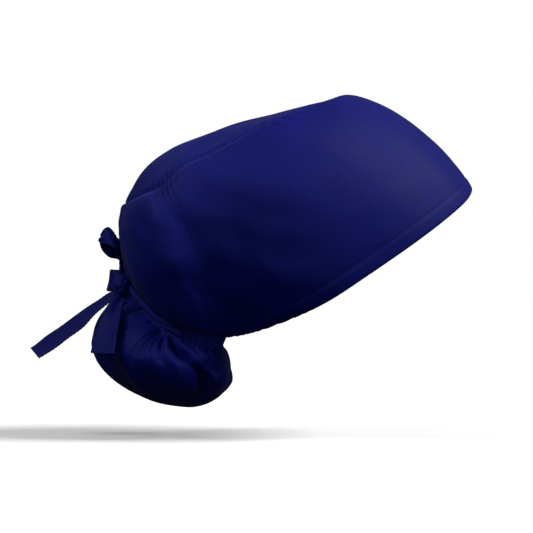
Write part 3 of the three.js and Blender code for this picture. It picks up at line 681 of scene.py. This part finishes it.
def ribbon(name, rows, seed, cup=1.2, crush=1.6):
    surface, run = ribbon_surface(rows, seed, cup, crush)
    edge = np.linspace(-1, 1, 15)
    round_edge = np.sqrt(np.clip(1 - np.abs(edge) ** 14, 0, 1)) * TIE_THICKNESS / 2 + 0.08
    front, back = surface(edge, round_edge), surface(edge, -round_edge)
    rings = np.concatenate([front, back[:, ::-1]], axis=1)
    half = rows["width"].max() / 2
    across_uv = np.concatenate([edge, edge[::-1]]) * half
    uvs = np.stack(np.broadcast_arrays(across_uv[None, :], run[:, None]), -1) * MM
    made = facing_out(sweep(name, rings, uvs))
    return made, surface


def ribbon_stitches(name, surface, sides=(1, -1)):
    """Two rows of stitches, near each edge, on both faces."""
    rows = []
    for side in sides:
        out = side * (TIE_THICKNESS / 2 + 0.1)
        for edge in (-0.84, 0.84):
            line = surface(np.array([edge]), np.array([out]))[:, 0]
            lifted = surface(np.array([edge]), np.array([out + side]))[:, 0] - line
            rows.append((line, unit(lifted)))
    return stitches(name, rows)


def stitches(name, rows, pitch=2.7, length=2.0, thick=0.42):
    """Sewing stitches as one mesh: a tapered grain of thread at each step along each row."""
    points, faces = [], []
    shape = table("along size", [(-0.5, 0.25), (-0.36, 1), (0.36, 1), (0.5, 0.25)])
    corners = 6
    angles = np.arange(corners) * TAU / corners
    for line, up in rows:
        run = arc_length(line)
        for place in np.arange(pitch, run[-1] - pitch, pitch):
            centre = np.array([np.interp(place, run, line[:, k]) for k in range(3)])
            ahead = np.array([np.interp(place + 0.5, run, line[:, k]) for k in range(3)])
            lift = unit(np.array([np.interp(place, run, up[:, k]) for k in range(3)]))
            onward = unit(ahead - centre)
            side = np.cross(onward, lift)
            first = len(points)
            for a, size in zip(shape["along"], shape["size"]):
                for angle in angles:
                    reach = side * math.cos(angle) + lift * (0.6 * math.sin(angle) + 0.25)
                    points.append(centre + onward * (a * length) + reach * (size * thick / 2))
            for ring in range(3):
                for k in range(corners):
                    onto = (k + 1) % corners
                    low, high = first + ring * corners, first + (ring + 1) * corners
                    faces.append([low + k, low + onto, high + onto, high + k])
            faces.append([first + k for k in range(corners)][::-1])
            faces.append([first + 3 * corners + k for k in range(corners)])
    return facing_out(mesh_object(name, points, faces))


def hem_stitches():
    turns = grid(1500, -NAPE + 0.06, NAPE - 0.06)
    line = band_skin(turns, np.full(turns.shape, STITCH_HEIGHT + 0.3), 0.12)
    face = normals(band_form, turns, np.full(turns.shape, STITCH_HEIGHT / BAND_LENGTH), 0.12, 0.03)
    return stitches("hem_stitches", [(line, face)])


TIE_END = 2.62


def tie_surface(side, seed):
    """The ribbon that wraps the pouch's neck, crushed into a few long pleats."""
    turns = side * grid(120, 0.15, TIE_END)

    def surface(width, out):
        w, t = np.meshgrid(width, turns, indexing="xy")
        narrow = 1 - 0.35 * smooth((0.5 - np.abs(t)) / 0.4)
        down = 0.122 + 0.062 * w * narrow + 0.006 * ripples(t * 26, 0 * t, 40, 5, seed, None, 0.2)
        base = pouch_form(t, down)
        face = normals(pouch_form, t, down, 0.2, 0.05, 0, 0.9)
        pleats = 0.3 * np.cos(w * 5.2 + 0.9 * ripples(t * 26, w, 50, 5, seed + 1, None, 0.3))
        tucked = 1.2 * smooth((np.abs(t) - TIE_END + 0.04) / 0.04)
        lift = 2.5 + pleats - tucked + 0.3 * ripples(t * 26, w * 8, 15, 8, seed + 2, None, 0.8)
        return base + face * (lift + out)[..., None]

    return surface, arc_length(surface(np.array([0.0]), np.array([0.0]))[:, 0])


def make_tie(name, side, seed):
    surface, run = tie_surface(side, seed)
    edge = np.linspace(-1, 1, 19)
    round_edge = np.sqrt(np.clip(1 - np.abs(edge) ** 14, 0, 1)) * TIE_THICKNESS / 2 + 0.08
    rings = np.concatenate([surface(edge, round_edge), surface(edge, -round_edge)[:, ::-1]], axis=1)
    across_uv = np.concatenate([edge, edge[::-1]]) * TIE_WIDTH / 2
    uvs = np.stack(np.broadcast_arrays(across_uv[None, :], run[:, None]), -1) * MM
    return facing_out(sweep(name, rings, uvs))


def make_knot():
    middle, half = np.array([0, 158.6, -16.6]), np.array([7.5, 4.9, 6.9])
    around, up = np.meshgrid(grid(96, 0, TAU)[:-1], grid(40, 0.001, np.pi - 0.001), indexing="ij")
    x = np.sin(up) * np.cos(around)
    y = np.sin(up) * np.sin(around)
    z = np.cos(up)
    box = (np.abs(x) ** 2.6 + np.abs(y) ** 2.6 + np.abs(z) ** 2.6) ** (-1 / 2.6)
    folds = 0.055 * np.cos(5.5 * np.arctan2(y + 0.2, z) + 2.2 * x) + 0.03 * np.cos(13 * x + 3 * z + 1)
    pinch = 1 - 0.16 * np.exp(-((x / 0.35) ** 2))
    size = box * (1 + folds)
    points = np.stack([x * size, y * size / pinch, z * size / pinch], -1) * half + middle
    points[:, [0, -1]] = points[:, [0, -1]].mean(axis=0)
    uvs = np.stack([around * 8, up * 8], -1) * MM
    return skin("tie_knot", points, uvs, closed=True, merge=True)


# ---- Materials ----------------------------------------------------------------------------------
def node(tree, kind, **values):
    made = tree.nodes.new(kind)
    for key, value in values.items():
        if key in made.inputs.keys():
            made.inputs[key].default_value = value
        else:
            setattr(made, key.lower().replace(" ", "_"), value)
    return made


def cloth_material(name, dark, light, threads=2100, crinkle=0.12):
    """Fine plain-weave cotton: threads a metre, uneven dye, faint sheen and soft crinkles."""
    material = bpy.data.materials.new(name)
    material.use_nodes = True
    tree = material.node_tree
    tree.nodes.clear()
    link = tree.links.new
    out = node(tree, "ShaderNodeOutputMaterial")
    shader = node(tree, "ShaderNodeBsdfPrincipled")
    shader.inputs["Sheen Weight"].default_value = 0.025
    shader.inputs["Sheen Roughness"].default_value = 0.45
    shader.inputs["Sheen Tint"].default_value = (0.55, 0.6, 1, 1)
    shader.inputs["Specular IOR Level"].default_value = 0.13
    link(shader.outputs[0], out.inputs[0])
    place = node(tree, "ShaderNodeUVMap", uv_map="cloth")
    solid = node(tree, "ShaderNodeTexCoord")

    mottle = node(tree, "ShaderNodeTexNoise", Scale=420.0, Detail=4.0, Roughness=0.7)
    link(solid.outputs["Object"], mottle.inputs["Vector"])
    broad = node(tree, "ShaderNodeTexNoise", Scale=38.0, Detail=3.0, Roughness=0.5)
    link(solid.outputs["Object"], broad.inputs["Vector"])
    both = node(tree, "ShaderNodeMath", operation="MULTIPLY_ADD")
    both.inputs[1].default_value = 0.6
    link(mottle.outputs["Fac"], both.inputs[0])
    scaled = node(tree, "ShaderNodeMath", operation="MULTIPLY")
    scaled.inputs[1].default_value = 0.5
    link(broad.outputs["Fac"], scaled.inputs[0])
    link(scaled.outputs[0], both.inputs[2])
    ramp = node(tree, "ShaderNodeValToRGB")
    ramp.color_ramp.elements[0].position = 0.35
    ramp.color_ramp.elements[0].color = (*dark, 1)
    ramp.color_ramp.elements[1].position = 0.75
    ramp.color_ramp.elements[1].color = (*light, 1)
    link(both.outputs[0], ramp.inputs["Fac"])
    link(ramp.outputs["Color"], shader.inputs["Base Color"])

    rough = node(tree, "ShaderNodeMapRange")
    rough.inputs["To Min"].default_value = 0.56
    rough.inputs["To Max"].default_value = 0.7
    link(broad.outputs["Fac"], rough.inputs["Value"])
    link(rough.outputs["Result"], shader.inputs["Roughness"])

    weave = []
    for direction in ("X", "Y"):
        wave = node(tree, "ShaderNodeTexWave", Scale=threads * math.pi / 10, Distortion=0.4)
        wave.bands_direction = direction
        link(place.outputs["UV"], wave.inputs["Vector"])
        weave.append(wave)
    product = node(tree, "ShaderNodeMath", operation="MULTIPLY")
    link(weave[0].outputs["Fac"], product.inputs[0])
    link(weave[1].outputs["Fac"], product.inputs[1])
    thread_bump = node(tree, "ShaderNodeBump", Strength=0.35, Distance=0.00008)
    link(product.outputs[0], thread_bump.inputs["Height"])
    crease = node(tree, "ShaderNodeTexNoise", Scale=95.0, Detail=5.0, Roughness=0.62, Distortion=0.6)
    link(solid.outputs["Object"], crease.inputs["Vector"])
    crease_bump = node(tree, "ShaderNodeBump", Strength=crinkle, Distance=0.002)
    link(crease.outputs["Fac"], crease_bump.inputs["Height"])
    link(thread_bump.outputs["Normal"], crease_bump.inputs["Normal"])
    link(crease_bump.outputs["Normal"], shader.inputs["Normal"])
    return material


def thread_material():
    material = bpy.data.materials.new("navy_thread")
    material.use_nodes = True
    tree = material.node_tree
    shader = tree.nodes["Principled BSDF"]
    shader.inputs["Roughness"].default_value = 0.55
    shader.inputs["Specular IOR Level"].default_value = 0.3
    noise = node(tree, "ShaderNodeTexNoise", Scale=900.0, Detail=2.0)
    ramp = node(tree, "ShaderNodeValToRGB")
    ramp.color_ramp.elements[0].color = (0.002, 0.0025, 0.03, 1)
    ramp.color_ramp.elements[1].color = (0.008, 0.009, 0.075, 1)
    tree.links.new(noise.outputs["Fac"], ramp.inputs["Fac"])
    tree.links.new(ramp.outputs["Color"], shader.inputs["Base Color"])
    return material


def finish_piece(made, material, slot, *nodes):
    made.data.materials.append(material)
    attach(made, "root")
    if nodes:
        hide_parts(*nodes)
    return made


# ---- Camera, lights and floor -------------------------------------------------------------------
FRAME_PIXELS = 533
FRAME_WIDTH = 0.69 * FRAME_PIXELS * MM
CAMERA_DISTANCE = 1.7
VIEW_MIDDLE = Vector((0, 0.0591, -0.0031))
CAMERA_RISE = math.radians(0.0)


def aim(made, place, target):
    made.location = place
    made.rotation_mode = "QUATERNION"
    made.rotation_quaternion = (Vector(target) - Vector(place)).to_track_quat("-Z", "Y")


def make_camera():
    data = bpy.data.cameras.new("camera")
    data.sensor_width = 36
    data.lens = data.sensor_width * CAMERA_DISTANCE / FRAME_WIDTH
    camera = bpy.data.objects.new("camera", data)
    bpy.context.scene.collection.objects.link(camera)
    back = Vector((-math.cos(CAMERA_RISE), 0, math.sin(CAMERA_RISE)))
    aim(camera, VIEW_MIDDLE + back * CAMERA_DISTANCE, VIEW_MIDDLE)
    bpy.context.scene.camera = camera


def area_light(name, place, size, power, color=(1, 1, 1)):
    data = bpy.data.lights.new(name, "AREA")
    data.shape = "DISK"
    data.size = size
    data.energy = power
    data.color = color
    light = bpy.data.objects.new(name, data)
    bpy.context.scene.collection.objects.link(light)
    aim(light, place, (0, 0.05, 0.02))


def sun(name, place, strength, angle, color=(1, 1, 1)):
    data = bpy.data.lights.new(name, "SUN")
    data.energy = strength
    data.angle = math.radians(angle)
    data.color = color
    light = bpy.data.objects.new(name, data)
    bpy.context.scene.collection.objects.link(light)
    aim(light, place, (0, 0, 0))


def make_studio():
    """Soft light from above and in front of the brow, and little from below or behind."""
    sun("key", (-0.3, -1.0, 1.0), 3.4, 30)
    area_light("rim", (-0.55, 0.95, 0.95), 0.5, 6)
    area_light("low_fill", (-1.4, 0.2, 0.1), 0.9, 3.2)
    world = bpy.data.worlds.new("studio")
    bpy.context.scene.world = world
    world.use_nodes = True
    tree = world.node_tree
    tree.nodes.clear()
    link = tree.links.new
    place = node(tree, "ShaderNodeTexCoord")
    split = node(tree, "ShaderNodeSeparateXYZ")
    link(place.outputs["Generated"], split.inputs[0])
    level = node(tree, "ShaderNodeMapRange")
    level.inputs["From Min"].default_value = -0.4
    level.inputs["To Min"].default_value = 0.02
    level.inputs["To Max"].default_value = 0.34
    link(split.outputs["Z"], level.inputs["Value"])
    ambient = node(tree, "ShaderNodeBackground")
    link(level.outputs["Result"], ambient.inputs["Strength"])
    seen = node(tree, "ShaderNodeBackground", Color=(1, 1, 1, 1), Strength=1.0)
    path = node(tree, "ShaderNodeLightPath")
    mix = node(tree, "ShaderNodeMixShader")
    out = node(tree, "ShaderNodeOutputWorld")
    link(path.outputs["Is Camera Ray"], mix.inputs[0])
    link(ambient.outputs[0], mix.inputs[1])
    link(seen.outputs[0], mix.inputs[2])
    link(mix.outputs[0], out.inputs["Surface"])


def make_floor():
    half, low = 6000, -121
    corners = [(-half, -half, low), (half, -half, low), (half, half, low), (-half, half, low)]
    floor = mesh_object("floor", corners, [[0, 1, 2, 3]])
    material = bpy.data.materials.new("pale_floor")
    material.use_nodes = True
    shader = material.node_tree.nodes["Principled BSDF"]
    shader.inputs["Base Color"].default_value = (0.93, 0.93, 0.94, 1)
    shader.inputs["Roughness"].default_value = 0.9
    shader.inputs["Emission Color"].default_value = (1, 1, 1, 1)
    shader.inputs["Emission Strength"].default_value = 0.16
    floor.data.materials.append(material)
    floor.visible_diffuse = False
    floor.visible_glossy = False


# ---- The cap ------------------------------------------------------------------------------------
make_camera()
CLOTH = cloth_material("navy_poplin", (0.0002, 0.0016, 0.1), (0.0004, 0.0032, 0.14))
TIE_CLOTH = cloth_material("navy_poplin_ties", (0.0002, 0.0014, 0.088), (0.0004, 0.0028, 0.125), crinkle=0.08)
THREAD = thread_material()

band = finish_piece(make_band(), CLOTH, "cap_cloth", "wrap_band", "brim_hem")
top = finish_piece(make_top(), CLOTH, "cap_cloth", "top_panel")
casing = finish_piece(make_casing(), CLOTH, "cap_cloth", "nape_casing")
pouch = finish_piece(make_pouch(), CLOTH, "cap_cloth", "ponytail_pouch")
sewn_hem = finish_piece(hem_stitches(), THREAD, "cap_cloth")
tie_left = finish_piece(make_tie("neck_tie_left", 1, 101), TIE_CLOTH, "tie_cloth", "tie_left")
tie_right = finish_piece(make_tie("neck_tie_right", -1, 111), TIE_CLOTH, "tie_cloth", "tie_right")
knot = finish_piece(make_knot(), TIE_CLOTH, "tie_cloth", "knot")

RIBBONS = [
    ("bow_upper", LOOP_UPPER, 121, "bow_loop_upper", 0.4),
    ("bow_lower", LOOP_LOWER, 131, "bow_loop_lower", 0.4),
    ("free_end_long", TAIL_LONG, 141, "tail_long", 1.0),
    ("free_end_short", TAIL_SHORT, 151, "tail_short", 1.2),
]
ribbons = {}
for name, rows, seed, stands_for, cup in RIBBONS:
    made, surface = ribbon(name, rows, seed, cup)
    finish_piece(made, TIE_CLOTH, "tie_cloth", stands_for)
    sewn = finish_piece(ribbon_stitches(name + "_stitches", surface), THREAD, "tie_cloth")
    ribbons[name] = (made, sewn)

# ---- Each sheet's flat cut, in metres, listed here but not stored on the sheet ------------------
for name, width, length, held in (
    ("bow_upper", 0.016, 0.088, "folded"),
    ("bow_lower", 0.015, 0.0625, "folded"),
    ("free_end_long", 0.02, 0.069, "hung"),
    ("free_end_short", 0.018, 0.052, "hung"),
):
    made, sewn = ribbons[name]

make_studio()
make_floor()
bpy.context.scene.view_settings.view_transform = "Standard"
